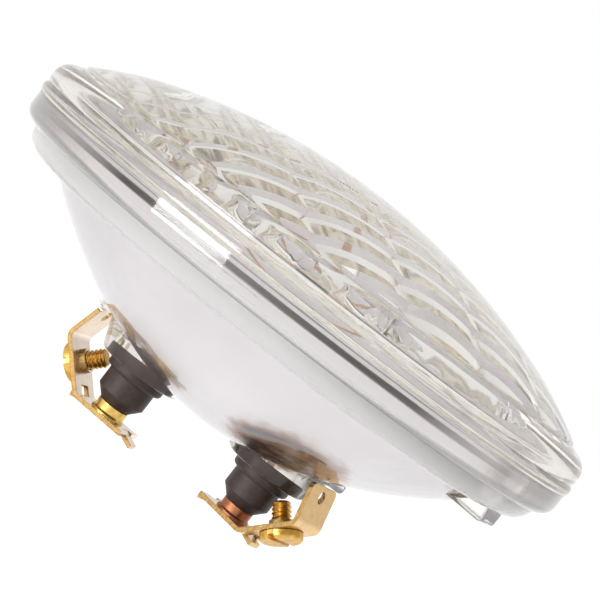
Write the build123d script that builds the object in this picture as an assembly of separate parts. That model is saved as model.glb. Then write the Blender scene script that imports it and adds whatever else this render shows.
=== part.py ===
from build123d import *
import os
from math import atan2, copysign, cos, radians, sin, sqrt, tan

# Sealed-beam spotlight lamp: a fluted glass lens fused to a glass reflector, with two screw terminals.
# Millimetres. +Z is the way the beam leaves. The origin is the centre of the seam between lens and
# reflector. +X runs through the right terminal, and the left terminal stands opposite.

# Reflector bowl and rim
rim_radius = 56.4
rim_height = 8.6
rim_width = 4.8
rim_corner_round = 2.5
step_width = 0.2
tier_height = 3.6
seat_width = 3.1
bowl_depth = 19.7
bowl_floor = 2.6

# Locating lug under the rim
lug_angle = -21.0
lug_width = 8.2
lug_inset = 5.2
lug_length = 16.0
lug_drop = 2.4
lug_edge_round = 0.6

# Lens
lens_overhang = 0.1
bead_overhang = 0.35
bead_height = 2.0
notch_width = 0.5
notch_depth = 0.35
shoulder_height = 7.25
shoulder_round = 4.1
dome_step = 1.9
dome_edge_round = 1.6
dome_rise = 11.65
lens_thickness = 4.4
skirt_draft = 0.3
skirt_depth = 3.7

# Arched bars pressed into the inside of the lens
pattern_margin = 0.25
pattern_angle = 33.0
bar_length = 16.1
bar_pitch = 5.75
bar_arch_radius = 20.0

# Terminal pads on the bowl
terminal_spacing = 28.0
pad_radius = 8.1
pad_drop = 0.6
pad_draft = 20.0
pad_root = 9.0
pad_edge_round = 0.7
rib_length = 12.7
rib_width = 9.0
rib_rise = 5.4
rib_root = 5.0
rib_edge_round = 0.8

# Ferrules
ferrule_radius = 4.65
ferrule_wall = 0.6
flange_radius = 5.65
flange_height = 1.9
flange_round = 0.7
barrel_height = 3.55
cone_height = 2.0
tip_radius = 2.8
sleeve_height = 2.8

# Rivets
rivet_radius = 2.95
rivet_height = 2.0
rivet_lip = 0.35
rivet_lip_height = 0.6
tenon_radius = 2.0
tenon_head_radius = 2.7
tenon_head_height = 0.4

# Terminal strips
left_strip_twist = 13.0
right_strip_twist = 31.0
strip_width = 8.0
strip_thickness = 0.85
strip_bend_radius = 1.6
foot_half_length = 5.5
incline_angle = 44.0
elbow_reach = 13.4
leg_lean = 16.0
leg_corner_round = 1.2
wire_hole_radius = 0.95
wire_hole_inset = 1.7
collar_radius = 2.3
collar_height = 1.3
collar_taper = 0.15
stop_length = 2.0
stop_width = 2.8
stop_angle = 15.0
tongue_length = 2.1
tongue_width = 2.4
tongue_angle = 20.0
tongue_slot = 1.2

# Binding screws
screw_radius = 1.75
screw_length = 5.6
screw_reach = 10.0
screw_tip_chamfer = 0.4
head_radius = 3.75
head_height = 1.45
head_edge_round = 0.6
slot_width = 1.0
slot_depth = 0.75

# Lead posts and filament
post_radius = 0.8
post_straight = 12.0
post_end_run = 4.0
post_bend_radius = 2.0
coil_length = 7.0
coil_radius = 1.0
coil_pitch = 0.7
filament_wire_radius = 0.18

# Fits
sleeve_clearance = 0.05
tenon_clearance = 0.05
screw_clearance = 0.05
head_clearance = 0.1
leg_clearance = 0.3
slit_clearance = 0.1
coil_clearance = 0.1

# Places that follow from the sizes above
sides = ("left", "right")
seat = -rim_height
bowl_bottom = seat - bowl_depth
tier_radius = rim_radius - rim_corner_round - step_width
tier_inner_radius = tier_radius - tier_height
seat_inner_radius = tier_inner_radius - seat_width
mirror_radius = rim_radius - rim_width
mirror_bottom = bowl_bottom + bowl_floor
focus_height = mirror_bottom - mirror_radius**2 / (4 * mirror_bottom)
lens_wall_radius = rim_radius + lens_overhang
shoulder_radius = lens_wall_radius - shoulder_round
dome_edge_radius = shoulder_radius - dome_edge_round
dome_edge = shoulder_height + dome_step
dome_top = dome_edge + dome_rise
dome_radius = (dome_edge_radius**2 + dome_rise**2) / (2 * dome_rise)
pocket_radius = mirror_radius - skirt_draft
pattern_radius = pocket_radius - pattern_margin
pad_face = bowl_bottom - pad_drop
rib_face = pad_face + rib_rise
flange_foot = pad_face - flange_height
barrel_foot = flange_foot - barrel_height
ferrule_bottom = barrel_foot - cone_height
ferrule_floor = ferrule_bottom + ferrule_wall
foot_top = ferrule_bottom - rivet_height
foot_middle = foot_top - strip_thickness / 2


def lathe(*edges):
    """Turns a closed outline of radius and height about the Z axis."""
    return revolve(Plane.XZ * make_face(edges), Axis.Z)


def corner_arc(start, end, centre):
    """Arc from start to end about a centre, for a rounded corner of a turned outline."""
    middle = Vector(*start) + Vector(*end) - Vector(*centre) * 2
    radius = (Vector(*start) - Vector(*centre)).length
    return ThreePointArc(start, Vector(*centre) + middle.normalized() * radius, end)


def cap_arc(radius, height, rise):
    """Arc of a spherical cap, from its edge to its top on the axis. A negative rise points down."""
    sphere = (radius**2 + rise**2) / (2 * rise)
    middle = height + rise - sphere + copysign(sqrt(sphere**2 - radius**2 / 4), rise)
    return ThreePointArc((radius, height), (radius / 2, middle), (0, height + rise))


def parabola(radius, height, bottom):
    """Exact parabola from its rim down to its bottom on the axis."""
    return Bezier((radius, height), (radius / 2, bottom), (0, bottom))


def place(side):
    """Frame of one terminal: X points away from the lamp's axis, at the ferrule's centre."""
    turn = 180 if side == "left" else 0
    return Rot(0, 0, turn) * Pos(terminal_spacing / 2, 0, 0)


def place_strip(side):
    """Frame of one strip: as its terminal, turned by the strip's own twist."""
    twist = left_strip_twist if side == "left" else right_strip_twist
    return place(side) * Rot(0, 0, -twist)


def lens_bar(along, across):
    """Space under one bar: a column with an arched roof that leans with the dome."""
    inner_sphere = dome_radius - lens_thickness
    roof = sqrt(inner_sphere**2 - along**2 - across**2)
    lean = atan2(along, roof)
    arch_along = along - bar_arch_radius * sin(lean)
    arch_height = dome_top - dome_radius + roof - bar_arch_radius * cos(lean)

    def arch(position):
        return position, arch_height + sqrt(bar_arch_radius**2 - (position - arch_along) ** 2)

    left = arch(along - bar_length / 2)
    right = arch(along + bar_length / 2)
    walls = Polyline(left, (left[0], arch_height), (right[0], arch_height), right)
    outline = make_face([walls, ThreePointArc(right, arch(along), left)])
    return extrude(Plane.XZ.offset(-across - bar_pitch / 2) * outline, bar_pitch)


def make_lens():
    """Domed cover with a fused bead at its foot and the bars pressed into its inside."""
    wall_top = shoulder_height - shoulder_round
    shoulder = (shoulder_radius, shoulder_height)
    notch = (lens_wall_radius - notch_depth, bead_height)
    dome = cap_arc(dome_edge_radius, dome_edge, dome_rise)
    lens = lathe(
        dome,
        TangentArc((dome_edge_radius, dome_edge), shoulder, tangent=-(dome % 0)),
        corner_arc(shoulder, (lens_wall_radius, wall_top), (shoulder_radius, wall_top)),
        Polyline((lens_wall_radius, wall_top), (lens_wall_radius, bead_height + notch_width), notch),
        ThreePointArc(notch, (rim_radius + bead_overhang, bead_height / 2), (rim_radius, 0)),
        Line((rim_radius, 0), (mirror_radius, 0)),
        Polyline((mirror_radius, 0), (pocket_radius, skirt_depth), (0, skirt_depth)),
        Line((0, skirt_depth), (0, dome_top)),
    )
    limit = Cylinder(pattern_radius, dome_top, align=(Align.CENTER, Align.CENTER, Align.MIN))
    bands = round(pattern_radius / bar_length)
    rows = round(pattern_radius / bar_pitch)
    bars = []
    for band in range(-bands, bands + 1):
        for row in range(-rows, rows + 1):
            along = band * bar_length
            across = row * bar_pitch
            nearest = Vector(max(abs(along) - bar_length / 2, 0), max(abs(across) - bar_pitch / 2, 0))
            if nearest.length < pattern_radius:
                bars.append(Rot(0, 0, pattern_angle) * (lens_bar(along, across) & limit))
    return lens - bars


def make_lug():
    """Locating lug: a block that hangs from the rim, with its free edges rounded."""
    lug = Box(lug_length, lug_width, lug_drop + tier_height, align=(Align.MAX, Align.CENTER, Align.MIN))
    free_edges = lug.faces().sort_by(Axis.Z)[0].edges() + lug.faces().sort_by(Axis.X)[-1].edges()
    lug = fillet(free_edges, lug_edge_round)
    return Rot(0, 0, lug_angle) * Pos(rim_radius - lug_inset, 0, seat - lug_drop) * lug


def make_pad():
    """Drafted round pad for one ferrule, with the rib that the strip's leg stands under."""
    pad_top_radius = pad_radius + pad_root * tan(radians(pad_draft))
    pad = Cone(pad_radius, pad_top_radius, pad_root, align=(Align.CENTER, Align.CENTER, Align.MIN))
    pad = fillet(pad.edges().sort_by(Axis.Z)[0], pad_edge_round)
    rib = Box(rib_length, rib_width, rib_root, align=(Align.MIN, Align.CENTER, Align.MIN))
    rib = fillet(rib.faces().sort_by(Axis.X)[-1].edges(), rib_edge_round)
    return Pos(0, 0, pad_face) * (pad + Pos(0, 0, rib_rise) * rib)


def make_reflector():
    """Bowl with its stepped rim, the lug, and a pad and hole for each terminal."""
    step = seat + tier_height
    wall_foot = step + rim_corner_round
    step_inner = rim_radius - rim_corner_round
    bowl = lathe(
        Polyline((0, 0), (rim_radius, 0), (rim_radius, wall_foot)),
        corner_arc((rim_radius, wall_foot), (step_inner, step), (step_inner, wall_foot)),
        Line((step_inner, step), (tier_radius, step)),
        corner_arc((tier_radius, step), (tier_inner_radius, seat), (tier_inner_radius, step)),
        Line((tier_inner_radius, seat), (seat_inner_radius, seat)),
        parabola(seat_inner_radius, seat, bowl_bottom),
        Line((0, bowl_bottom), (0, 0)),
    )
    bowl += make_lug()
    for side in sides:
        bowl += place(side) * make_pad()
    bowl -= lathe(
        Polyline((0, mirror_bottom), (0, 0), (mirror_radius, 0)),
        parabola(mirror_radius, 0, mirror_bottom),
    )
    for side in sides:
        hole = Cylinder(ferrule_radius + sleeve_clearance, 2 * pad_root)
        bowl -= place(side) * Pos(0, 0, pad_face) * hole
    return bowl


def make_ferrule():
    """Thin metal thimble: a sleeve in the glass, a flange under the pad, a barrel and a cone."""
    sleeve_top = pad_face + sleeve_height
    inner_radius = ferrule_radius - ferrule_wall
    round_top = (flange_radius, flange_foot + flange_round)
    round_foot = (flange_radius - flange_round, flange_foot)
    return lathe(
        Polyline((inner_radius, sleeve_top), (ferrule_radius, sleeve_top), (ferrule_radius, pad_face)),
        Polyline((ferrule_radius, pad_face), (flange_radius, pad_face), round_top),
        corner_arc(round_top, round_foot, (round_foot[0], round_top[1])),
        Polyline(round_foot, (ferrule_radius, flange_foot), (ferrule_radius, barrel_foot)),
        Polyline((ferrule_radius, barrel_foot), (tip_radius, ferrule_bottom), (0, ferrule_bottom)),
        Polyline((0, ferrule_bottom), (0, ferrule_floor), (tip_radius - ferrule_wall, ferrule_floor)),
        Line((tip_radius - ferrule_wall, ferrule_floor), (inner_radius, barrel_foot)),
        Line((inner_radius, barrel_foot), (inner_radius, sleeve_top)),
    )


def make_rivet():
    """Short barrel under the ferrule, with a tenon through the strip and a peened end."""
    lip_radius = rivet_radius + rivet_lip
    lip_top = foot_top + rivet_lip_height
    foot_bottom = foot_top - strip_thickness
    return lathe(
        Polyline((0, ferrule_bottom), (rivet_radius, ferrule_bottom), (rivet_radius, lip_top)),
        Polyline((rivet_radius, lip_top), (lip_radius, lip_top - rivet_lip), (lip_radius, foot_top)),
        Polyline((lip_radius, foot_top), (tenon_radius, foot_top), (tenon_radius, foot_bottom)),
        Line((tenon_radius, foot_bottom), (tenon_head_radius, foot_bottom)),
        cap_arc(tenon_head_radius, foot_bottom, -tenon_head_height),
        Line((0, foot_bottom - tenon_head_height), (0, ferrule_bottom)),
    )


def incline_height(reach):
    """Height of the strip's middle on its inclined part, at a distance from the ferrule's axis."""
    return foot_middle + (reach - foot_half_length) * tan(radians(incline_angle))


def place_screw():
    """Frame of the binding screw in its strip's frame: the screw backs out along Z."""
    outward = (sin(radians(incline_angle)), 0, -cos(radians(incline_angle)))
    middle = (screw_reach, 0, incline_height(screw_reach))
    return Plane(middle, x_dir=(0, 1, 0), z_dir=outward).location


def make_strip():
    """Brass strip bent twice, with its holes, tapped collar, wire stop and bent end tongue."""
    elbow_height = incline_height(elbow_reach)
    leg_top = rib_face - leg_clearance
    leg_slope = tan(radians(leg_lean))
    leg_end = elbow_reach - (leg_top - elbow_height) * leg_slope
    middle_line = FilletPolyline(
        (-foot_half_length, foot_middle),
        (foot_half_length, foot_middle),
        (elbow_reach, elbow_height),
        (leg_end, leg_top),
        radius=strip_bend_radius,
    )
    strip = extrude(Plane.XZ * trace(middle_line, strip_thickness), strip_width / 2, both=True)
    end_face = strip.faces().sort_by(Axis.Z)[-1]
    strip = fillet(end_face.edges().sort_by(SortBy.LENGTH)[:2], leg_corner_round)

    wire_hole = Cylinder(wire_hole_radius, 4 * strip_thickness, rotation=(0, 90 + leg_lean, 0))
    strip -= Pos(leg_end + wire_hole_inset * leg_slope, 0, leg_top - wire_hole_inset) * wire_hole
    strip -= Pos(0, 0, foot_middle) * Cylinder(tenon_radius + tenon_clearance, 2 * strip_thickness)

    collar = Cone(
        collar_radius - collar_taper,
        collar_radius,
        collar_height + strip_thickness,
        align=(Align.CENTER, Align.CENTER, Align.MAX),
    )
    strip += place_screw() * Pos(0, 0, strip_thickness / 2) * collar
    strip -= place_screw() * Cylinder(screw_radius + screw_clearance, 2 * screw_length)

    lanced = (Align.MIN, Align.CENTER, Align.CENTER)
    window = Box(stop_length, stop_width + 2 * slit_clearance, 6 * strip_thickness, align=lanced)
    strip -= Pos(foot_half_length, 0, foot_middle) * Rot(0, -incline_angle, 0) * window
    stop = Box(stop_length + strip_thickness, stop_width, strip_thickness, align=lanced)
    stop_root = Pos(foot_half_length - strip_thickness, 0, foot_middle)
    strip += stop_root * Rot(0, stop_angle, 0) * stop

    bent = (Align.MAX, Align.CENTER, Align.CENTER)
    slot = Box(tongue_slot, tongue_width + 2 * slit_clearance, 2 * strip_thickness, align=bent)
    tongue = Box(tongue_length + tongue_slot, tongue_width, strip_thickness, align=bent)
    tongue_root = Pos(tongue_slot - foot_half_length, 0, foot_middle)
    strip -= tongue_root * slot
    strip += tongue_root * Rot(0, -tongue_angle, 0) * tongue
    return strip


def make_screw():
    """Slotted binding screw in its own frame, with its head close against the strip."""
    under_head = strip_thickness / 2 + head_clearance
    tip = under_head - screw_length
    head_top = under_head + head_height
    tip_edge = (screw_radius, tip + screw_tip_chamfer)
    round_foot = (head_radius, head_top - head_edge_round)
    round_top = (head_radius - head_edge_round, head_top)
    screw = lathe(
        Polyline((0, tip), (screw_radius - screw_tip_chamfer, tip), tip_edge),
        Polyline(tip_edge, (screw_radius, under_head), (head_radius, under_head), round_foot),
        corner_arc(round_foot, round_top, (round_top[0], round_foot[1])),
        Polyline(round_top, (0, head_top), (0, tip)),
    )
    slot = Box(3 * head_radius, slot_width, 2 * slot_depth)
    return screw - Pos(0, 0, head_top) * slot


def make_post():
    """Wire from the ferrule's floor up through the glass, leaning in to the filament's end."""
    end_reach = coil_length / 2 + coil_clearance - terminal_spacing / 2
    path = FilletPolyline(
        (0, 0, ferrule_floor),
        (0, 0, ferrule_floor + post_straight),
        (end_reach + post_end_run, 0, focus_height),
        (end_reach, 0, focus_height),
        radius=post_bend_radius,
    )
    return sweep(Pos(0, 0, ferrule_floor) * Circle(post_radius), path=path)


def make_filament():
    """Coil along X, centred on the focus of the mirror."""
    helix = Helix(coil_pitch, coil_length, coil_radius)
    section = Plane(helix @ 0, z_dir=helix % 0) * Circle(filament_wire_radius)
    coil = sweep(section, path=helix, is_frenet=True)
    return Pos(-coil_length / 2, 0, focus_height) * Rot(0, 90, 0) * coil


nodes = {
    "lens": make_lens(),
    "reflector": make_reflector(),
    "filament": make_filament(),
}
for side in sides:
    nodes[f"ferrule_{side}"] = place(side) * make_ferrule()
    nodes[f"rivet_{side}"] = place(side) * make_rivet()
    nodes[f"lead_post_{side}"] = place(side) * make_post()
    nodes[f"terminal_strip_{side}"] = place_strip(side) * make_strip()
    nodes[f"terminal_screw_{side}"] = place_strip(side) * place_screw() * make_screw()

os.makedirs("parts", exist_ok=True)
for name, shape in nodes.items():
    export_step(shape, f"parts/{name}.step")
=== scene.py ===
from collections import Counter
from math import asin, atan2, cos, hypot, pi, radians, sin, sqrt, tan

import bmesh
import bpy
from mathutils import Matrix, Vector
from mathutils.geometry import delaunay_2d_cdt


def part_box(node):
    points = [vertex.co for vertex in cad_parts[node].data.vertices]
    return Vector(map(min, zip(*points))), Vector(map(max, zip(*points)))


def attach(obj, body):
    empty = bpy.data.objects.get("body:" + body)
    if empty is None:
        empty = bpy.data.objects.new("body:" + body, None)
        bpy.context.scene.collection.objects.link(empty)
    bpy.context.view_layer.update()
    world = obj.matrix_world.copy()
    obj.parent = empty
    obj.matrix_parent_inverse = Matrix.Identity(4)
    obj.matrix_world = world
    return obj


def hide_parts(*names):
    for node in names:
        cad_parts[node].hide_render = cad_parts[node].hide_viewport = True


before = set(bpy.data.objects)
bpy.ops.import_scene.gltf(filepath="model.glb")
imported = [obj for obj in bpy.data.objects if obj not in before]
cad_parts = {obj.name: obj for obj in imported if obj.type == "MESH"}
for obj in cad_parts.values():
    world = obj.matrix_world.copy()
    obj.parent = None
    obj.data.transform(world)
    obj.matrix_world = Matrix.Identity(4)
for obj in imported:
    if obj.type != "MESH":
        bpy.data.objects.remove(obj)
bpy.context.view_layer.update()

# Lengths are in millimetres and are scaled to metres where meshes, lights and shaders are made.
MM = 0.001

# Camera
camera_azimuth = radians(5.0)
camera_distance = 300.0
camera_height = 12.1
camera_clip = 10.0
aim_side = 0.4
aim_height = -1.8
camera_roll = radians(37.9)
camera_lens = 104.1

# Studio: a key light that glass and metal mirror, a fill light that they don't, and a floor below the lamp
key_place = (-580.0, -820.0, 20.0)
key_size = (550.0, 160.0)
key_power = 5.0
fill_place = (800.0, -300.0, 800.0)
fill_size = (1200.0, 1200.0)
fill_power = 3.0
wall_strength = 0.8
floor_height = -110.0
floor_half = 6000.0
floor_greys = ((0.44,) * 3, (0.48,) * 3)
floor_rough = 0.9
floor_glow = 0.75

# Lens
lens_thickness = 4.4
lens_overhang = 0.1
bead_overhang = 0.35
bead_height = 2.0
bead_corner_share = 0.2
bead_top_bulge = 0.12
bead_foot_bulge = 0.08
notch_width = 0.5
notch_depth = 0.35
shoulder_height = 7.25
shoulder_round = 4.1
dome_step = 1.9
dome_edge_round = 1.6
edge_blend_start = 40.0
edge_step = 0.45
shoulder_slope = radians(21.0)
wall_round = 3.27
wall_top = 3.49
skirt_depth = 3.7
skirt_draft = 0.3
rim_width = 4.8
pattern_margin = 0.25
pattern_angle = radians(33.0)
bar_length = 16.1
bar_pitch = 5.75
bar_arch_radius = 20.0
bar_edge_round = 0.22
seam_gap = 0.01

# Mirror coating, with a dark band near its edge: partly scorch, partly a painted dark reflection
bowl_floor = 2.6
pad_drop = 0.6
coating_sink = 0.06
coating_margin = 0.1
terminal_spacing = 28.0
sleeve_hole = 4.75
hole_clearance = 0.3
scorch_and_reflection_heights = (-2.8, 0.2)
scorch_and_reflection_wobble = 0.5
scorch_and_reflection_fade = (26.0, 44.0)
scorch_and_reflection_side_share = 0.2
scorch_and_reflection_strengths = (0.55, 1.25)
satin_depths = (7.0, 16.0)
satin_rough = (0.27, 0.18)

# Heat staining on the outside of the bowl, in front of the right terminal, with a painted reflection of the
# dark ferrule and strip
stain_and_reflection_place = (15.2, -17.4)
stain_and_reflection_reach = 11.7
stain_and_reflection_pad_depths = (25.3, 26.0)
stain_and_reflection_dark_to_light = (11.0, 24.0)
stain_and_reflection_lightness = (0.3, 1.5)
stain_and_reflection_fringe_full = 0.5
stain_and_reflection_rough = 0.26
stain_and_reflection_shine = 0.05
patch_core_share = 0.5
patch_edge_share = 0.25

# Painted slate shade on the end of the rib over the right terminal's leg
rib_shade_place = (26.0, -7.2)
rib_shade_reach = 8.5
rib_shade_depths = (22.0, 22.6)

# Milky glass along the step of the rim, with its ramp over a depth from the seam
milk_depth = 10.0
milk_share = 0.55

# Glass seal round each ferrule
seal_inner = 4.66
seal_wall = 0.08
seal_outer = {"left": 5.8, "right": 7.3}
seal_height = 2.8
seal_top = 0.06
seal_foot = 0.04

# Terminal strips and screws
tenon_head_height = 0.4
strip_turn = {"left": radians(167.0), "right": radians(-31.0)}
strip_thickness = 0.85
strip_edge_round = 0.22
strip_lump_depth = 0.25
strip_inner_lean = (0.6, 0.8)
foot_half_length = 5.5
incline_angle = radians(44.0)
screw_reach = 10.0
screw_radius = 1.75
screw_length = 5.6
screw_tip_chamfer = 0.4
thread_pitch = 0.79
thread_depth = 0.42
thread_crest_share = 0.12
head_radius = 3.75
head_height = 1.45
head_edge_round = 0.6
head_clearance = 0.1
head_opening_share = 0.4
slot_width = 1.0
slot_depth = 0.75
slot_wall = 0.03

# Fineness of the meshes, with sharp angles and the distances within which points are one.
# The offsets and the margin at the bars' edges are multiples of the edges' round.
lens_segments = 256
dome_steps = 30
blend_steps = 16
wall_steps = 12
bar_steps = (10, 2)
bar_edge_offsets = (-1.4, -1, -0.5, 0, 0.5, 1, 1.4)
bar_grid_margin = 1.3
coating_segments = 192
coating_rings = 40
coating_ring_points = (8, 4)
hole_segments = 64
hole_inside_share = 0.99
seal_segments = 96
shank_segments = 48
shank_rows_per_turn = 10
head_segments = 72
head_edge_steps = 6
head_rim_share = 0.998
lens_sharp = radians(50)
turned_sharp = radians(40)
screw_sharp = radians(35)
weld_distance = 1e-4
flat_weld = 1e-6

# Glass: refraction, shine, the colour that it lets through, waviness, and the roughness of its sides
glass_index = 1.48
glass_shine = 0.5
glass_passed = (0.86, 0.81, 0.71, 1)
glass_density = 26.0
glass_wave = 0.02
wall_rough = 0.06
top_rough = 0.01
lens_under_rough = 0.09
bowl_under_rough = 0.02

# Polish of the metals, from smooth to rough
brass_rough = (0.2, 0.35)
screw_rough = (0.28, 0.42)
copper_rough = (0.35, 0.5)
wire_rough = (0.2, 0.35)
tungsten_rough = (0.3, 0.45)
ferrule_rough = (0.42, 0.6)
ferrule_metallic = 0.2
seal_rough = (0.4, 0.6)
strip_rough = (0.3, 0.55)

# Colours as pairs of dark and bright, which follow a noise between two of its values
cloud_span = (0.3, 0.7)
lens_tints = ((0.965, 0.957, 0.935), (0.985, 0.98, 0.965))
bowl_tints = ((0.965, 0.962, 0.945), (0.985, 0.983, 0.97))
silver_tones = ((0.79, 0.77, 0.81), (0.85, 0.83, 0.87))
# Dark band on the coating's edge: partly scorch, partly painted dark reflection
scorch_and_reflection_tones = ((0.010, 0.008, 0.007), (0.07, 0.055, 0.04))
# Colours of the heat staining with its painted reflection of the dark ferrule: a warm fringe and a brown core
fringe_tones = ((0.56, 0.25, 0.16), (0.78, 0.42, 0.29))
brown_tones = ((0.030, 0.012, 0.009), (0.50, 0.33, 0.21))
# Slate of the painted shade on the rib's end
rib_shade_tones = ((0.05, 0.04, 0.035), (0.20, 0.22, 0.25))
brass_tones = ((0.62, 0.38, 0.08), (0.82, 0.58, 0.20))
screw_tones = ((0.54, 0.29, 0.05), (0.82, 0.52, 0.14))
copper_tones = ((0.30, 0.11, 0.05), (0.46, 0.19, 0.10))
wire_tones = ((0.78, 0.56, 0.42), (0.92, 0.70, 0.55))
tungsten_tones = ((0.2, 0.2, 0.21), (0.35, 0.35, 0.36))
ferrule_tones = ((0.039, 0.024, 0.021), (0.064, 0.041, 0.036))
seal_tones = ((0.05, 0.02, 0.01), (0.085, 0.042, 0.026))

# Colours of the brass strips, with a pale painted sheen on their inner faces, and how much their wear darkens
# them
strip_wear = ((0.6,) * 3, (1.0,) * 3)
strip_wear_share = 0.35
strip_tan = (0.84, 0.58, 0.29)
strip_gold = (0.46, 0.29, 0.11)
strip_painted_sheen = (0.97, 0.83, 0.68)

# Grain of the surfaces, in cells for each metre, and the depth of the metals' fine grain
metal_grain = 900.0
fine_grain_ratio = 4
fine_grain_depth = 0.01
glass_cloud = 60.0
glass_wave_grain = 160.0
silver_grain = 40.0
streak_grain = (40.0, 40.0, 1500.0)
scorch_and_reflection_cloud = 25.0
patch_edge_grain = 220.0
fringe_grain = 250.0
brown_grain = 400.0
rib_shade_grain = 300.0
seal_grain = 60.0
strip_lump_grain = 1100.0
floor_grain = 3.0

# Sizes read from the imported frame
rim_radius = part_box("reflector")[1].x / MM
dome_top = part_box("lens")[1].z / MM
bowl_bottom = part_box("reflector")[0].z / MM + pad_drop
lens_wall_radius = rim_radius + lens_overhang
shoulder_radius = lens_wall_radius - shoulder_round
dome_edge_radius = shoulder_radius - dome_edge_round
dome_rise = dome_top - shoulder_height - dome_step
dome_radius = (dome_edge_radius**2 + dome_rise**2) / (2 * dome_rise)
mirror_radius = rim_radius - rim_width
mirror_bottom = bowl_bottom + bowl_floor
mirror_focus = -mirror_radius**2 / (4 * mirror_bottom)
pocket_radius = mirror_radius - skirt_draft
pattern_radius = pocket_radius - pattern_margin
foot_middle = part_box("rivet_left")[0].z / MM + tenon_head_height + strip_thickness / 2
under_head = strip_thickness / 2 + head_clearance


def new_material(name):
    """A node material and its Principled shader."""
    material = bpy.data.materials.new(name)
    material.use_nodes = True
    return material, material.node_tree.nodes["Principled BSDF"]


def add_node(tree, kind, **values):
    """A shader node, with its properties and named inputs set."""
    node = tree.nodes.new(kind)
    for key, value in values.items():
        if key in node.inputs:
            node.inputs[key].default_value = value
        else:
            setattr(node, key, value)
    return node


def combine(tree, operation, *values, clamp=False):
    """A sum, product or the like of sockets and plain numbers."""
    node = add_node(tree, "ShaderNodeMath", operation=operation, use_clamp=clamp)
    for slot, value in zip(node.inputs, values):
        if isinstance(value, bpy.types.NodeSocket):
            tree.links.new(value, slot)
        else:
            slot.default_value = value
    return node.outputs["Value"]


def value_range(tree, factor, low, high, start=0.0, end=1.0, kind="LINEAR"):
    """A value that goes from low to high while a factor goes from start to end."""
    spread = add_node(tree, "ShaderNodeMapRange", interpolation_type=kind)
    for name, value in (("From Min", start), ("From Max", end), ("To Min", low), ("To Max", high)):
        spread.inputs[name].default_value = value
    tree.links.new(factor, spread.inputs["Value"])
    return spread.outputs["Result"]


def colour_ramp(tree, factor, *stops):
    """Colours along a factor, as (position, colour) pairs."""
    ramp = tree.nodes.new("ShaderNodeValToRGB")
    while len(ramp.color_ramp.elements) < len(stops):
        ramp.color_ramp.elements.new(0.5)
    for element, (position, colour) in zip(ramp.color_ramp.elements, stops):
        element.position = position
        element.color = (*colour, 1)
    tree.links.new(factor, ramp.inputs["Fac"])
    return ramp.outputs["Color"]


def grey_ramp(tree, factor, *stops):
    """Greys along a factor, as (position, grey) pairs."""
    return colour_ramp(tree, factor, *((position, (grey,) * 3) for position, grey in stops))


def noise(tree, scale, detail=3.0):
    """Noise over the object's own coordinates, with a scale per metre."""
    place = add_node(tree, "ShaderNodeTexCoord")
    texture = add_node(tree, "ShaderNodeTexNoise", Scale=scale, Detail=detail)
    tree.links.new(place.outputs["Object"], texture.inputs["Vector"])
    return texture.outputs["Fac"]


def mottle(tree, cloud, tones):
    """A dark and a bright tone that follow a noise."""
    return colour_ramp(tree, cloud, *zip(cloud_span, tones))


def object_axis(tree, axis):
    """The object's own coordinate along an axis, in metres."""
    place = add_node(tree, "ShaderNodeTexCoord")
    parts = add_node(tree, "ShaderNodeSeparateXYZ")
    tree.links.new(place.outputs["Object"], parts.inputs["Vector"])
    return parts.outputs[axis]


def place_range(tree, axis, span, low, high):
    """A value that changes between two distances from the object's middle along an axis."""
    distance = combine(tree, "ABSOLUTE", object_axis(tree, axis))
    return value_range(tree, distance, low, high, span[0] * MM, span[1] * MM)


def direction_factor(tree, output, direction):
    """From 0 where a surface or a ray points against a direction to 1 where it points along it."""
    place = add_node(tree, "ShaderNodeTexCoord")
    facing = add_node(tree, "ShaderNodeVectorMath", operation="DOT_PRODUCT")
    facing.inputs[1].default_value = direction
    tree.links.new(place.outputs[output], facing.inputs[0])
    return value_range(tree, facing.outputs["Value"], 0.0, 1.0, start=-1.0)


def add_bump(tree, shader, height, depth):
    """Bump on a shader, with its depth in millimetres."""
    bump = add_node(tree, "ShaderNodeBump", Strength=1.0, Distance=depth * MM)
    tree.links.new(height, bump.inputs["Height"])
    tree.links.new(bump.outputs["Normal"], shader.inputs["Normal"])
    return bump


def mix_colour(tree, shader, factor, colour):
    """Lays a colour over a shader's own where a factor is 1."""
    mixed = add_node(tree, "ShaderNodeMix", data_type="RGBA")
    below = shader.inputs["Base Color"].links[0].from_socket
    tree.links.new(factor, mixed.inputs["Factor"])
    tree.links.new(below, mixed.inputs["A"])
    tree.links.new(colour, mixed.inputs["B"])
    tree.links.new(mixed.outputs["Result"], shader.inputs["Base Color"])


def multiply_colours(tree, first, second, share):
    """One colour darkened by a share of another."""
    product = add_node(tree, "ShaderNodeMix", data_type="RGBA", blend_type="MULTIPLY")
    product.inputs["Factor"].default_value = share
    tree.links.new(first, product.inputs["A"])
    tree.links.new(second, product.inputs["B"])
    return product.outputs["Result"]


def fused_seam(tree):
    """Zero on the two faces that are fused together at the seam plane, so that no gap shows there."""
    distance = combine(tree, "ABSOLUTE", object_axis(tree, "Z"))
    return combine(tree, "GREATER_THAN", distance, 2 * seam_gap * MM)


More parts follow.
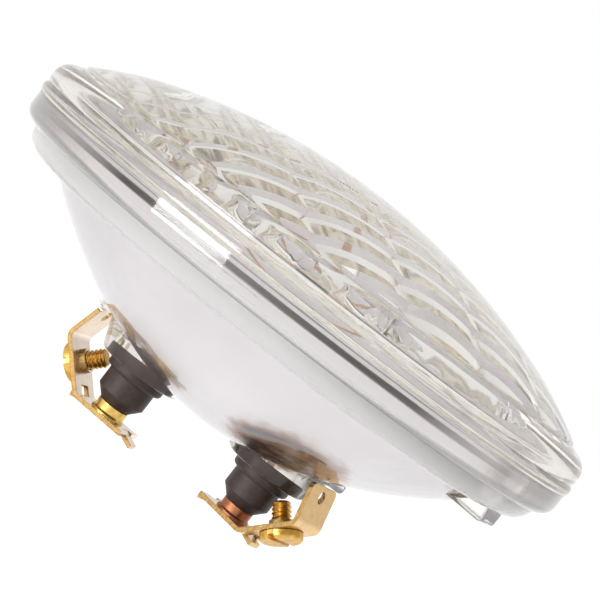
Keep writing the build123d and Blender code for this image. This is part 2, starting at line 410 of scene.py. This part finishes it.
def glass_material(name, tints, under_rough):
    """Clear pressed glass, faintly tinted and uneven, with a roughness of its own for its underside."""
    material, shader = new_material(name)
    tree = material.node_tree
    shader.inputs["Transmission Weight"].default_value = 1.0
    shader.inputs["IOR"].default_value = glass_index
    shader.inputs["Specular IOR Level"].default_value = glass_shine
    tree.links.new(mottle(tree, noise(tree, glass_cloud), tints), shader.inputs["Base Color"])
    upward = direction_factor(tree, "Normal", (0, 0, 1))
    rough = grey_ramp(tree, upward, (0.3, under_rough), (0.5, wall_rough), (0.7, top_rough))
    tree.links.new(rough, shader.inputs["Roughness"])
    add_bump(tree, shader, noise(tree, glass_wave_grain, 1.0), glass_wave)
    tree.links.new(fused_seam(tree), shader.inputs["Alpha"])
    volume = add_node(tree, "ShaderNodeVolumeAbsorption", Color=glass_passed, Density=glass_density)
    tree.links.new(volume.outputs["Volume"], tree.nodes["Material Output"].inputs["Volume"])
    return material


def glass_patch(tree, centre, reach, depth_share):
    """From 1 on a round patch to 0 away from it, with an uneven edge, times a share by depth."""
    place = add_node(tree, "ShaderNodeTexCoord")
    level = add_node(tree, "ShaderNodeVectorMath", operation="MULTIPLY")
    level.inputs[1].default_value = (1, 1, 0)
    tree.links.new(place.outputs["Object"], level.inputs[0])
    away = add_node(tree, "ShaderNodeVectorMath", operation="DISTANCE")
    away.inputs[1].default_value = Vector((*centre, 0)) * MM
    tree.links.new(level.outputs["Vector"], away.inputs[0])
    distance = combine(tree, "DIVIDE", away.outputs["Value"], reach * MM)
    edge = value_range(tree, noise(tree, patch_edge_grain), -patch_edge_share, patch_edge_share)
    uneven = combine(tree, "ADD", distance, edge)
    patch = value_range(tree, uneven, 0.0, 1.0, 1.0, patch_core_share, "SMOOTHSTEP")
    return combine(tree, "MULTIPLY", patch, depth_share)


def milky_step(tree):
    """Share of milky glass: most along the step of the rim, none above and below it."""
    depth = place_range(tree, "Z", (0.0, milk_depth), 0.0, 1.0)
    return grey_ramp(tree, depth, (0.36, 0.0), (0.46, milk_share), (0.76, milk_share), (0.88, 0.0))


def colour_stain_and_reflection(tree, shader, stain_and_reflection):
    """Colours of the heat staining and its painted reflection of the dark ferrule: a warm fringe, and a brown
    core that is lighter further out.
    """
    fringe = mottle(tree, noise(tree, fringe_grain), fringe_tones)
    mix_colour(tree, shader, value_range(tree, stain_and_reflection, 0.0, 1.0, end=stain_and_reflection_fringe_full), fringe)
    lightness = place_range(tree, "X", stain_and_reflection_dark_to_light, *stain_and_reflection_lightness)
    tone = combine(tree, "MULTIPLY", noise(tree, brown_grain), lightness)
    brown = colour_ramp(tree, tone, *zip((0.15, 0.75), brown_tones))
    mix_colour(tree, shader, combine(tree, "MULTIPLY", stain_and_reflection, stain_and_reflection), brown)


def paint_rib_shade(tree, shader):
    """Painted slate shade on the end of the right terminal's rib."""
    shade = glass_patch(tree, rib_shade_place, rib_shade_reach, place_range(tree, "Z", rib_shade_depths, 0.0, 1.0))
    mix_colour(tree, shader, shade, mottle(tree, noise(tree, rib_shade_grain), rib_shade_tones))


def stain_reflection_and_shade_glass(material):
    """Makes the bowl's glass milky along the rim's step, gives a rib's end a painted slate shade, and makes
    it brown and dull at the heat staining with its painted reflection of the dark ferrule.
    """
    tree = material.node_tree
    shader = tree.nodes["Principled BSDF"]
    above_pad = place_range(tree, "Z", stain_and_reflection_pad_depths, 1.0, 0.0)
    # Heat staining with a painted reflection of the dark ferrule, in front of the right terminal
    stain_and_reflection = glass_patch(tree, stain_and_reflection_place, stain_and_reflection_reach, above_pad)
    colour_stain_and_reflection(tree, shader, stain_and_reflection)
    # Painted slate shade on the end of the rib
    paint_rib_shade(tree, shader)
    dull = add_node(tree, "ShaderNodeMix", B=stain_and_reflection_rough)
    tree.links.new(stain_and_reflection, dull.inputs["Factor"])
    tree.links.new(shader.inputs["Roughness"].links[0].from_socket, dull.inputs["A"])
    tree.links.new(dull.outputs["Result"], shader.inputs["Roughness"])
    clear_of_stain_and_reflection = value_range(tree, stain_and_reflection, 1.0, 0.0)
    clear = combine(tree, "SUBTRACT", clear_of_stain_and_reflection, milky_step(tree), clamp=True)
    tree.links.new(clear, shader.inputs["Transmission Weight"])
    tree.links.new(value_range(tree, stain_and_reflection, glass_shine, stain_and_reflection_shine), shader.inputs["Specular IOR Level"])


def mottled_metal(name, tones, grain, metallic):
    """Metal whose colour varies a little, with a fine grain, and the noise that it follows."""
    material, shader = new_material(name)
    tree = material.node_tree
    shader.inputs["Metallic"].default_value = metallic
    cloud = noise(tree, grain)
    tree.links.new(mottle(tree, cloud, tones), shader.inputs["Base Color"])
    add_bump(tree, shader, noise(tree, fine_grain_ratio * grain), fine_grain_depth)
    return material, cloud


def metal_material(name, tones, rough, grain=metal_grain, metallic=1.0):
    """Metal whose colour and polish vary a little over its surface."""
    material, cloud = mottled_metal(name, tones, grain, metallic)
    tree = material.node_tree
    tree.links.new(value_range(tree, cloud, *rough), tree.nodes["Principled BSDF"].inputs["Roughness"])
    return material


def strip_material(name, turn):
    """Stamped brass: tan outer faces, deep gold sheared edges, and inner faces painted pale as a sheen of the
    bright surroundings.
    """
    material, shader = new_material(name)
    tree = material.node_tree
    shader.inputs["Metallic"].default_value = 1.0
    level, upright = strip_inner_lean
    inward = direction_factor(tree, "Normal", (-level * cos(turn), -level * sin(turn), upright))
    # Tones by facing; the pale inner faces are a painted sheen
    tone = colour_ramp(tree, inward, (0.30, strip_tan), (0.42, strip_gold),
                       (0.58, strip_gold), (0.70, strip_painted_sheen))
    wear = mottle(tree, noise(tree, metal_grain), strip_wear)
    tree.links.new(multiply_colours(tree, tone, wear, strip_wear_share), shader.inputs["Base Color"])
    sheared = grey_ramp(tree, inward, (0.38, 0.0), (0.44, 1.0), (0.56, 1.0), (0.62, 0.0))
    tree.links.new(value_range(tree, sheared, *strip_rough), shader.inputs["Roughness"])
    lumps = combine(tree, "MULTIPLY", sheared, noise(tree, strip_lump_grain))
    bump = add_bump(tree, shader, lumps, strip_lump_depth)
    rounded = add_node(tree, "ShaderNodeBevel", Radius=strip_edge_round * MM)
    tree.links.new(rounded.outputs["Normal"], bump.inputs["Normal"])
    return material


def scorch_and_reflection_band(tree, streaks):
    """From 0 on clean coating to 1 on the dark band, partly scorch and partly painted dark reflection: a
    broad band and a thin line near the fused edge.
    """
    height = combine(tree, "MULTIPLY_ADD", streaks, scorch_and_reflection_wobble * MM, object_axis(tree, "Z"))
    rise = value_range(tree, height, 0.0, 1.0, *(limit * MM for limit in scorch_and_reflection_heights))
    broad = ((0.20, 0.0), (0.32, 1.0), (0.58, 1.0), (0.66, 0.15))
    thin = ((0.78, 0.1), (0.84, 0.8), (0.90, 0.1))
    band = grey_ramp(tree, rise, *broad, *thin)
    cloud = value_range(tree, noise(tree, scorch_and_reflection_cloud, 1.0), *scorch_and_reflection_strengths)
    uneven = combine(tree, "MULTIPLY", band, cloud, clamp=True)
    return combine(tree, "MULTIPLY", uneven, place_range(tree, "X", scorch_and_reflection_fade, 1.0, scorch_and_reflection_side_share))


def coating_material(name):
    """Satin aluminium coating, dark and streaky along its edge where the glass was fused: partly scorch,
    partly a painted dark reflection.
    """
    material, _ = mottled_metal(name, silver_tones, silver_grain, 1.0)
    tree = material.node_tree
    shader = tree.nodes["Principled BSDF"]
    place = add_node(tree, "ShaderNodeTexCoord")
    stretch = add_node(tree, "ShaderNodeVectorMath", operation="MULTIPLY")
    stretch.inputs[1].default_value = streak_grain
    tree.links.new(place.outputs["Object"], stretch.inputs[0])
    streaks = add_node(tree, "ShaderNodeTexNoise", Scale=1.0, Detail=4.0)
    tree.links.new(stretch.outputs["Vector"], streaks.inputs["Vector"])
    # Painted dark reflection, partly scorch, along the coating's edge; it fades towards the sides
    scorch_and_reflection = scorch_and_reflection_band(tree, streaks.outputs["Fac"])
    dark = colour_ramp(tree, streaks.outputs["Fac"], *zip((0.35, 0.7), scorch_and_reflection_tones))
    mix_colour(tree, shader, scorch_and_reflection, dark)
    tree.links.new(place_range(tree, "Z", satin_depths, *satin_rough), shader.inputs["Roughness"])
    return material


def make_piece(name, points, faces, material, sharp_angle, body="lamp"):
    """A mesh piece from points in millimetres, welded, smooth up to a sharp angle, riding on a body."""
    mesh = bpy.data.meshes.new(name)
    mesh.from_pydata([Vector(point) * MM for point in points], [], faces)
    work = bmesh.new()
    work.from_mesh(mesh)
    bmesh.ops.remove_doubles(work, verts=work.verts, dist=weld_distance * MM)
    bmesh.ops.recalc_face_normals(work, faces=work.faces)
    work.to_mesh(mesh)
    work.free()
    mesh.polygons.foreach_set("use_smooth", [True] * len(mesh.polygons))
    mesh.set_sharp_from_angle(angle=sharp_angle)
    mesh.materials.append(material)
    piece = bpy.data.objects.new(name, mesh)
    bpy.context.scene.collection.objects.link(piece)
    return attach(piece, body)


def circle(radius, count, centre=(0.0, 0.0)):
    """Points round a circle."""
    turns = [2 * pi * i / count for i in range(count)]
    return [(centre[0] + radius * cos(turn), centre[1] + radius * sin(turn)) for turn in turns]


def arc(centre, radius, start, end, steps):
    """Points of radius and height along an arc."""
    angles = [start + (end - start) * i / steps for i in range(steps + 1)]
    return [(centre[0] + radius * cos(angle), centre[1] + radius * sin(angle)) for angle in angles]


def tangent_arc(start, heading, end, steps):
    """Points along the arc that leaves start on a heading and bends down to end."""
    inward = Vector((sin(heading), -cos(heading)))
    chord = Vector(end) - Vector(start)
    radius = chord.length_squared / (2 * chord.dot(inward))
    centre = Vector(start) + inward * radius
    first, last = Vector(start) - centre, Vector(end) - centre
    return arc(centre, radius, atan2(first.y, first.x), atan2(last.y, last.x), steps)


def turned(profile, count):
    """Points and faces of a profile of radius and height, turned about Z. A radius of 0 closes it."""
    points, faces, rings = [], [], []
    for radius, height in profile:
        start = len(points)
        ring = [(0.0, 0.0)] if radius == 0 else circle(radius, count)
        points += [(x, y, height) for x, y in ring]
        rings.append(range(start, len(points)))
    for low, high in zip(rings, rings[1:]):
        for i in range(count):
            j = (i + 1) % count
            corners = [low[i % len(low)], low[j % len(low)], high[j % len(high)], high[i % len(high)]]
            faces.append(list(dict.fromkeys(corners)))
    return points, faces


def joined(first, second):
    """Points and faces of two shapes together."""
    points, faces = first
    more_points, more_faces = second
    return points + more_points, faces + [[i + len(points) for i in face] for face in more_faces]


def add_ring(flat, edges, ring):
    """Adds a closed ring of points, and its edges, to a flat drawing."""
    start = len(flat)
    flat += ring
    edges += [(start + i, start + (i + 1) % len(ring)) for i in range(len(ring))]


def triangulate(flat, edges, inside_only=False):
    """Points and triangles over a flat drawing: all of its hull, or only the inside of its edges."""
    found = delaunay_2d_cdt([Vector(point) for point in flat], edges, [], int(inside_only), flat_weld)
    return found[0], [list(face) for face in found[2]]


def bar_roof(band, row, position):
    """Height of one bar's arched roof, at a position along the bands."""
    along = band * bar_length
    across = row * bar_pitch
    roof = sqrt((dome_radius - lens_thickness) ** 2 - along**2 - across**2)
    lean = atan2(along, roof)
    arch_along = along - bar_arch_radius * sin(lean)
    arch_height = dome_top - dome_radius + roof - bar_arch_radius * cos(lean)
    return arch_height + sqrt(max(bar_arch_radius**2 - (position - arch_along) ** 2, 0))


def shares(position, pitch):
    """The cells that a position belongs to, with their weights: two near a cell's rounded edge."""
    cell = round(position / pitch)
    offset = position - cell * pitch
    inside = min((pitch / 2 - abs(offset)) / bar_edge_round, 1)
    other = 0.5 - 0.5 * inside**2 * (3 - 2 * inside)
    return [(cell, 1 - other), (cell + (1 if offset > 0 else -1), other)]


def inside_height(along, across):
    """Height of the lens's inside: the bars within the pattern, and a flat land round them."""
    outside = (hypot(along, across) - pattern_radius) / bar_edge_round
    land = min(max(0.5 + 0.5 * outside, 0), 1)
    land = land**2 * (3 - 2 * land)
    if land == 1:
        return skirt_depth
    height = 0.0
    for band, band_share in shares(along, bar_length):
        for row, row_share in shares(across, bar_pitch):
            if band_share * row_share > 0:
                height += band_share * row_share * bar_roof(band, row, along)
    return skirt_depth * land + max(height, skirt_depth) * (1 - land)


def cell_lines(pitch, divisions):
    """Grid positions over the cells: close together at each rounded edge, even in between."""
    lines = []
    cells = round(pattern_radius / pitch) + 1
    for cell in range(-cells, cells + 1):
        lines += [cell * pitch + pitch * (step / divisions - 0.5) for step in range(1, divisions)]
        lines += [cell * pitch + pitch / 2 + offset * bar_edge_round for offset in bar_edge_offsets]
    return lines


def lens_outside():
    """Profile of the lens from the top of its dome, over the shoulder and the bead, to its pocket."""
    blend_half = asin(edge_blend_start / dome_radius)
    wall_centre = (lens_wall_radius - wall_round, wall_top)
    shoulder = arc(wall_centre, wall_round, pi / 2 - shoulder_slope, 0, wall_steps)
    shoulder_rise = (shoulder[0][0] - shoulder_radius) * tan(shoulder_slope)
    shoulder.insert(0, (shoulder_radius, shoulder[0][1] + shoulder_rise))
    blend_end = (shoulder_radius - edge_step / 4, shoulder[0][1] + edge_step)
    notch = (lens_wall_radius - notch_depth, bead_height)
    bead_side = (rim_radius + bead_overhang, bead_height / 2)
    bead_top = ((notch[0] + bead_side[0]) / 2 + bead_top_bulge, bead_height * (1 - bead_corner_share))
    bead_foot = ((rim_radius + bead_side[0]) / 2 + bead_foot_bulge, bead_height * bead_corner_share)
    profile = [(0.0, dome_top)]
    profile += arc((0, dome_top - dome_radius), dome_radius, pi / 2, pi / 2 - blend_half, dome_steps)[1:]
    profile += tangent_arc(profile[-1], -blend_half, blend_end, blend_steps)[1:]
    profile += shoulder
    profile += [(lens_wall_radius, bead_height + notch_width), notch, bead_top, bead_side, bead_foot]
    profile += [(rim_radius, seam_gap), (mirror_radius, seam_gap), (pocket_radius, skirt_depth)]
    return profile


def lens_inside():
    """Points and faces of the bars' inside, over a grid that is close at the bars' edges."""
    flat, edges = [], []
    add_ring(flat, edges, circle(pocket_radius, lens_segments))
    for offset in (1, 0, -1):
        add_ring(flat, edges, circle(pattern_radius + offset * bar_edge_round, 2 * lens_segments))
    limit = pattern_radius - bar_grid_margin * bar_edge_round
    turn = Matrix.Rotation(pattern_angle, 2)
    for along in cell_lines(bar_length, bar_steps[0]):
        for across in cell_lines(bar_pitch, bar_steps[1]):
            if hypot(along, across) < limit:
                flat.append(tuple(turn @ Vector((along, across))))
    places, faces = triangulate(flat, edges)
    heights = [inside_height(*(turn.transposed() @ place)) for place in places]
    return [(place.x, place.y, height) for place, height in zip(places, heights)], faces


def make_lens(material):
    """Lens of pressed glass: a turned outside, and the bars' inside as a fine surface."""
    points, faces = joined(turned(lens_outside(), lens_segments), lens_inside())
    lens = make_piece("lens_fluted", points, faces, material, lens_sharp)
    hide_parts("lens")
    return lens


def terminal_x(side):
    """Distance of a terminal from the lamp's axis, with its sign."""
    return terminal_spacing / 2 * (1 if side == "right" else -1)


def coating_sheet():
    """Flat points and triangles of the coating, with a hole at each ferrule."""
    holes = [(terminal_x(side), 0.0) for side in ("left", "right")]

    def clear_of_holes(point, distance):
        return all(hypot(point[0] - x, point[1] - y) > distance for x, y in holes)

    flat, edges = [], []
    outer = mirror_radius - coating_margin
    add_ring(flat, edges, circle(outer, coating_segments))
    for hole in holes:
        add_ring(flat, edges, circle(sleeve_hole, hole_segments, hole))
    first, growth = coating_ring_points
    for step in range(1, coating_rings):
        ring = circle(outer * step / coating_rings, first + growth * step)
        flat += [point for point in ring if clear_of_holes(point, sleeve_hole + hole_clearance)]
    places, faces = triangulate(flat, edges)
    middles = [sum((places[i] for i in face), Vector((0, 0))) / 3 for face in faces]
    return places, [face for face, middle in zip(faces, middles)
                    if clear_of_holes(middle, sleeve_hole * hole_inside_share)]


def make_coating(material):
    """Mirror coating on the inside of the bowl: a thin closed skin in its surface."""
    places, sheet = coating_sheet()
    total = len(places)
    points = []
    for lift in (-coating_sink, coating_sink):
        points += [(p.x, p.y, mirror_bottom + (p.x**2 + p.y**2) / (4 * mirror_focus) + lift) for p in places]
    faces = sheet + [[i + total for i in reversed(face)] for face in sheet]
    uses = Counter(frozenset(edge) for face in sheet for edge in zip(face, face[1:] + face[:1]))
    for (a, b), times in uses.items():
        if times == 1:
            faces.append([a, b, b + total, a + total])
    coating = make_piece("mirror_coating", points, faces, material, turned_sharp)
    return coating


def make_seal(side, material):
    """Dark seal between a ferrule and the glass: a sleeve in the pad's hole and a ring under the pad."""
    pad_face = bowl_bottom - pad_drop
    sleeve = seal_inner + seal_wall
    outline = [(seal_inner, pad_face + seal_height), (sleeve, pad_face + seal_height),
               (sleeve, pad_face + seal_top), (seal_outer[side], pad_face + seal_top),
               (seal_outer[side], pad_face - seal_foot), (seal_inner, pad_face - seal_foot)]
    points, faces = turned(outline + outline[:1], seal_segments)
    points = [(x + terminal_x(side), y, z) for x, y, z in points]
    seal = make_piece(f"seal_{side}", points, faces, material, turned_sharp)
    return seal


def thread_profile(turn, height):
    """Radius of the screw's thread at a turn and a height above its tip, chamfered at the tip."""
    phase = (height / thread_pitch - turn / (2 * pi)) % 1
    groove = 1 - abs(2 * phase - 1)
    crest = screw_radius - thread_depth * max(groove - thread_crest_share, 0)
    return min(crest, screw_radius - screw_tip_chamfer + height)


def threaded_shank():
    """Points and faces of the threaded shank, from its tip to the underside of the head."""
    rows = round(screw_length / thread_pitch * shank_rows_per_turn)
    points = [(0, 0, under_head - screw_length)]
    faces = []
    for row in range(rows + 1):
        height = screw_length * row / rows
        for i in range(shank_segments):
            turn = 2 * pi * i / shank_segments
            radius = thread_profile(turn, height)
            points.append((radius * cos(turn), radius * sin(turn), under_head - screw_length + height))
    for i in range(shank_segments):
        j = (i + 1) % shank_segments
        faces.append([0, 1 + j, 1 + i])
        for row in range(rows):
            low, high = 1 + row * shank_segments, 1 + (row + 1) * shank_segments
            faces.append([low + i, low + j, high + j, high + i])
    return points, faces


def head_top(x, y):
    """Height of the screw head's top above its underside: a rounded edge and a straight slot."""
    out = max(hypot(x, y) - head_radius + head_edge_round, 0)
    crown = head_height - head_edge_round + sqrt(max(head_edge_round**2 - out**2, 0))
    return min(crown, head_height - slot_depth) if abs(y) < slot_width / 2 + slot_wall / 2 else crown


def slotted_head():
    """Points and faces of the slotted head, over an open ring where the shank joins it."""
    flat, edges = [], []
    add_ring(flat, edges, circle(head_radius, head_segments))
    for step in range(1, head_edge_steps + 1):
        inset = head_edge_round * (1 - cos(pi / 2 * step / head_edge_steps))
        flat += circle(head_radius - inset, head_segments)
    for y in (slot_width / 2, slot_width / 2 + slot_wall):
        for side in (-1, 1):
            edges.append((len(flat), len(flat) + 1))
            flat += [(-head_radius, side * y), (head_radius, side * y)]
    places, faces = triangulate(flat, edges, inside_only=True)
    points = [(p.x, p.y, under_head + head_top(p.x, p.y)) for p in places]
    rim = sorted((i for i, p in enumerate(places) if p.length > head_radius * head_rim_share),
                 key=lambda i: atan2(places[i].y, places[i].x))
    start = len(points)
    points += [(places[i].x, places[i].y, under_head) for i in rim]
    inner = len(points)
    points += [(*(places[i] * head_opening_share), under_head) for i in rim]
    for i in range(len(rim)):
        j = (i + 1) % len(rim)
        faces.append([rim[i], start + i, start + j, rim[j]])
        faces.append([start + i, inner + i, inner + j, start + j])
    return points, faces


def make_screw(side, material):
    """Slotted binding screw with a cut thread, in place in its strip."""
    turn = strip_turn[side]
    rise = (screw_reach - foot_half_length) * tan(incline_angle)
    middle = Vector((terminal_x(side) + screw_reach * cos(turn), screw_reach * sin(turn), foot_middle + rise))
    outward = Vector((sin(incline_angle) * cos(turn), sin(incline_angle) * sin(turn), -cos(incline_angle)))
    across = Vector((-sin(turn), cos(turn), 0))
    frame_turn = Matrix((across, outward.cross(across), outward)).transposed()
    points, faces = joined(threaded_shank(), slotted_head())
    points = [middle + frame_turn @ Vector(point) for point in points]
    screw = make_piece(f"screw_threaded_{side}", points, faces, material, screw_sharp, f"{side}_screw")
    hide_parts(f"terminal_screw_{side}")
    return screw


def add_camera():
    """Camera at the photograph's place, rolled so that the lamp leans to the right."""
    right = Vector((cos(camera_azimuth), sin(camera_azimuth), 0))
    towards = Vector((sin(camera_azimuth), -cos(camera_azimuth), 0))
    place = towards * camera_distance + Vector((0, 0, camera_height))
    look = (right * aim_side + Vector((0, 0, aim_height)) - place).normalized()
    level = look.cross(Vector((0, 0, 1))).normalized()
    upright = level.cross(look)
    side = cos(camera_roll) * level + sin(camera_roll) * upright
    up = cos(camera_roll) * upright - sin(camera_roll) * level
    data = bpy.data.cameras.new("camera")
    data.lens = camera_lens
    data.clip_start = camera_clip * MM
    camera = bpy.data.objects.new("camera", data)
    camera.matrix_world = Matrix.Translation(place * MM) @ Matrix((side, up, -look)).transposed().to_4x4()
    bpy.context.scene.collection.objects.link(camera)
    bpy.context.scene.camera = camera


def add_softbox(name, place, size, power, mirrored):
    """A soft oblong light that points at the object, mirrored in glass and metal or not."""
    data = bpy.data.lights.new(name, "AREA")
    data.shape = "RECTANGLE"
    data.size, data.size_y = (length * MM for length in size)
    data.energy = power
    light = bpy.data.objects.new(name, data)
    light.location = Vector(place) * MM
    light.visible_glossy = light.visible_transmission = mirrored
    light.rotation_euler = (-Vector(place)).to_track_quat("-Z", "Y").to_euler()
    bpy.context.scene.collection.objects.link(light)


def seen_background(tree):
    """One where a ray comes from the camera, a mirror or glass, so that it sees the plain background."""
    path = add_node(tree, "ShaderNodeLightPath")
    seen = path.outputs["Is Camera Ray"]
    for kind in ("Is Glossy Ray", "Is Transmission Ray"):
        seen = combine(tree, "MAXIMUM", seen, path.outputs[kind])
    return seen


def add_world():
    """White behind the lamp, greyer overhead and on the camera's side, as in a photographer's studio."""
    world = bpy.data.worlds.new("studio")
    world.use_nodes = True
    tree = world.node_tree
    shader = tree.nodes["Background"]
    upward = direction_factor(tree, "Generated", (0, 0, 1))
    overhead = grey_ramp(tree, upward, (0.55, 0.93), (0.75, 0.86), (1.0, 0.82))
    forward = direction_factor(tree, "Generated", (sin(camera_azimuth), -cos(camera_azimuth), 0))
    front = grey_ramp(tree, forward, (0.65, 1.0), (0.92, 0.78))
    seen = add_node(tree, "ShaderNodeMix", data_type="RGBA")
    seen.inputs["B"].default_value = (1, 1, 1, 1)
    path = add_node(tree, "ShaderNodeLightPath")
    tree.links.new(path.outputs["Is Camera Ray"], seen.inputs["Factor"])
    tree.links.new(multiply_colours(tree, overhead, front, 1.0), seen.inputs["A"])
    tree.links.new(seen.outputs["Result"], shader.inputs["Color"])
    tree.links.new(value_range(tree, seen_background(tree), wall_strength, 1.0), shader.inputs["Strength"])
    bpy.context.scene.world = world


def add_floor():
    """Pale floor well below the lamp."""
    material, shader = new_material("floor_white")
    tree = material.node_tree
    shader.inputs["Roughness"].default_value = floor_rough
    tint = colour_ramp(tree, noise(tree, floor_grain), *zip((0.0, 1.0), floor_greys))
    tree.links.new(tint, shader.inputs["Base Color"])
    shader.inputs["Emission Color"].default_value = (1, 1, 1, 1)
    glow = value_range(tree, seen_background(tree), 0.0, floor_glow)
    tree.links.new(glow, shader.inputs["Emission Strength"])
    mesh = bpy.data.meshes.new("floor")
    signs = ((-1, -1), (1, -1), (1, 1), (-1, 1))
    corners = [Vector((x * floor_half, y * floor_half, floor_height)) * MM for x, y in signs]
    mesh.from_pydata(corners, [], [(0, 1, 2, 3)])
    mesh.materials.append(material)
    floor = bpy.data.objects.new("floor", mesh)
    bpy.context.scene.collection.objects.link(floor)


scene = bpy.context.scene
scene.view_settings.view_transform = "Standard"
scene.cycles.max_bounces = 24
scene.cycles.glossy_bounces = 12
scene.cycles.transmission_bounces = 20

clear_glass = glass_material("lens_glass_look", lens_tints, lens_under_rough)
bowl_glass = glass_material("bowl_glass_look", bowl_tints, bowl_under_rough)
stain_reflection_and_shade_glass(bowl_glass)
coating_look = coating_material("coating_look")
brass = metal_material("brass_look", brass_tones, brass_rough)
copper = metal_material("copper_look", copper_tones, copper_rough)
deep_brass = metal_material("screw_look", screw_tones, screw_rough)
dark_metal = metal_material("ferrule_look", ferrule_tones, ferrule_rough, metallic=ferrule_metallic)
seal_dark = metal_material("seal_look", seal_tones, seal_rough, grain=seal_grain, metallic=0.0)
wire_copper = metal_material("wire_look", wire_tones, wire_rough)
tungsten = metal_material("tungsten_look", tungsten_tones, tungsten_rough)

make_lens(clear_glass)
make_coating(coating_look)
for side in ("left", "right"):
    make_screw(side, deep_brass)
    make_seal(side, seal_dark)
looks = {
    "lens": clear_glass,
    "reflector": bowl_glass,
    "filament": tungsten,
    "ferrule_left": dark_metal,
    "ferrule_right": dark_metal,
    "rivet_left": brass,
    "rivet_right": copper,
    "lead_post_left": wire_copper,
    "lead_post_right": wire_copper,
    "terminal_strip_left": strip_material("strip_left_look", strip_turn["left"]),
    "terminal_strip_right": strip_material("strip_right_look", strip_turn["right"]),
    "terminal_screw_left": deep_brass,
    "terminal_screw_right": deep_brass,
}
for name, look in looks.items():
    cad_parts[name].data.materials[0] = look

add_floor()
add_world()
add_softbox("key", key_place, key_size, key_power, True)
add_softbox("fill", fill_place, fill_size, fill_power, False)
add_camera()
